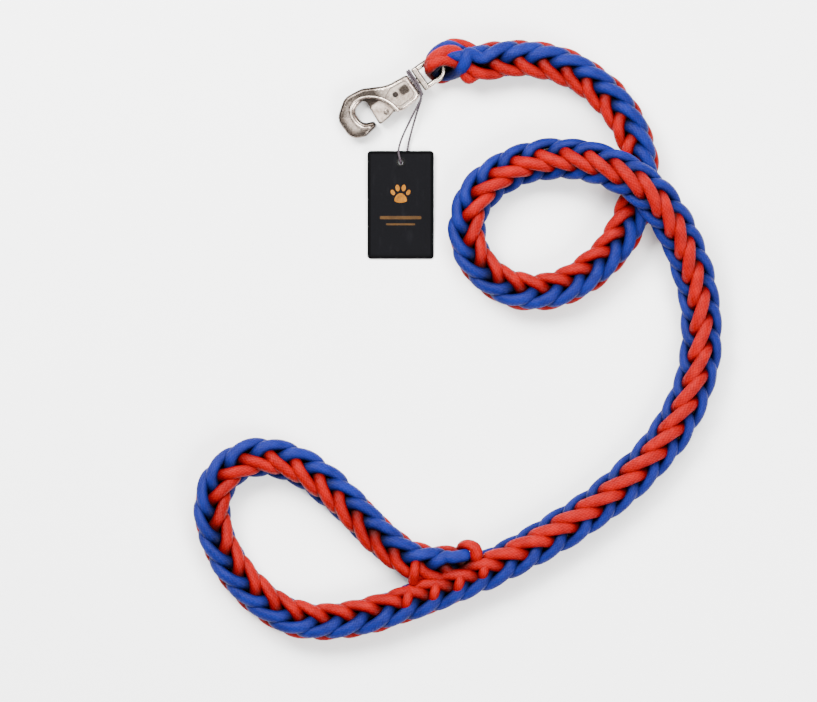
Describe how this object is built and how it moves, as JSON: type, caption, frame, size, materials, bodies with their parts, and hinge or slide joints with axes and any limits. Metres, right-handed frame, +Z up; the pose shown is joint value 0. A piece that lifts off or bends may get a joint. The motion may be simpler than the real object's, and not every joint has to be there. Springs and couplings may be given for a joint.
{
  "type": "training leash",
  "caption": "Braided rope dog leash with a spliced hand loop, a swivel snap clip with a sprung gate, and a hang tag, lying coiled on a flat surface.",
  "frame": {"origin": "on the resting surface, under the middle of the clip", "axes": "+Z up from the surface; +X from the clip towards the rope's first bend; +Y away from the hand loop"},
  "size_m": [0.3794, 0.4341, 0.057],
  "materials": {
    "clip_metal": "nickel-plated zinc casting, rolled edges",
    "gate_metal": "nickel-plated zinc casting, tumbled",
    "pin_steel": "riveted steel pin, dulled",
    "spring_steel": "spring steel, oiled",
    "eye_metal": "nickel-plated, polished",
    "blue_cord": "royal blue braided nylon cord, satin",
    "red_cord": "bright red braided nylon cord, satin",
    "tag_board": "black coated card with a gold print",
    "eyelet_metal": "rolled eyelet",
    "string": "black waxed string"
  },
  "bodies": {
    "rope": {"lead_rope": "blue_cord", "hand_loop": "blue_cord", "red_tucks": "red_cord", "blue_bights": "blue_cord", "red_bights": "red_cord", "swivel_eye": "eye_metal", "swivel_washer": "spring_steel", "tag_string": "string"},
    "clip": {"hook_body": "clip_metal", "gate_pin": "pin_steel", "gate_spring": "spring_steel"},
    "gate": {"gate": "gate_metal"},
    "tag": {"tag_card": "tag_board", "tag_eyelet": "eyelet_metal"}
  },
  "joints": [
    {"name": "clip_swivel", "type": "hinge", "parent": "rope", "child": "clip", "pos_m": [0.01808, 0.0119, 0.01159], "axis": [-0.8147, -0.5704, -0.1045], "continuous": true},
    {"name": "gate_hinge", "type": "hinge", "parent": "clip", "child": "gate", "pos_m": [0.00265, 0.00219, 0.00968], "axis": [0.0856, 0.06, -0.9945], "range_deg": [0, 30], "stiffness_Nm_per_rad": 0.08, "springref_deg": -20.05, "deforming": ["gate_spring"]},
    {"name": "tag_swing", "type": "hinge", "parent": "rope", "child": "tag", "pos_m": [0.006, -0.04607, 0.00319], "axis": [0, -0.0384, 0.9993], "range_deg": [-12, 12]}
  ]
}
